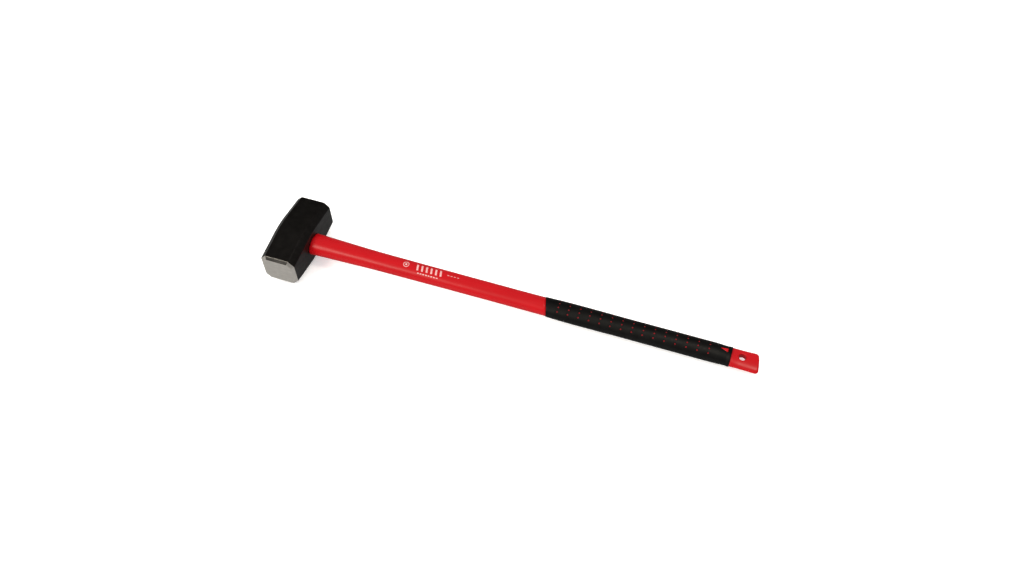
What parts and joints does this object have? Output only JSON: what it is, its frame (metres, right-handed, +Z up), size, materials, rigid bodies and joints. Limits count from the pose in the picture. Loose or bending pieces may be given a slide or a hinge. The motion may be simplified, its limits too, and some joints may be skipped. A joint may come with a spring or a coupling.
{
  "type": "sledge hammer",
  "caption": "Long-handled sledge hammer: octagonal forged head with two ground faces, moulded sleeve over a fibreglass core, windowed rubber grip and a hang hole.",
  "frame": {"origin": "centre of the lower cheek's flat, straight below the centre of the eye, where the head rests on a table", "axes": "+X along the handle from the head to the hang hole, +Y along the line of the blow, +Z up through the upper cheek; the handle's axis is at z = 40 mm"},
  "size_m": [0.9018, 0.16, 0.08],
  "materials": {
    "head_lacquer": "satin black lacquer over forged steel, with the two striking faces and their bevels ground bare",
    "resin": "set epoxy, amber, slightly glossy",
    "dam_rubber": "soft black sealing ring",
    "core_composite": "pultruded glass fibre rod with lengthwise strands",
    "sleeve_plastic": "glossy red moulded polypropylene",
    "grip_rubber": "satin black soft moulding with a fine grain",
    "ink": "thin white ink"
  },
  "bodies": {
    "root": {"hammer_head": "head_lacquer", "eye_resin": "resin", "resin_dam_ring": "dam_rubber", "fibreglass_core": "core_composite", "handle_sleeve": "sleeve_plastic", "rubber_grip": "grip_rubber", "printed_marks": "ink"}
  },
  "joints": []
}
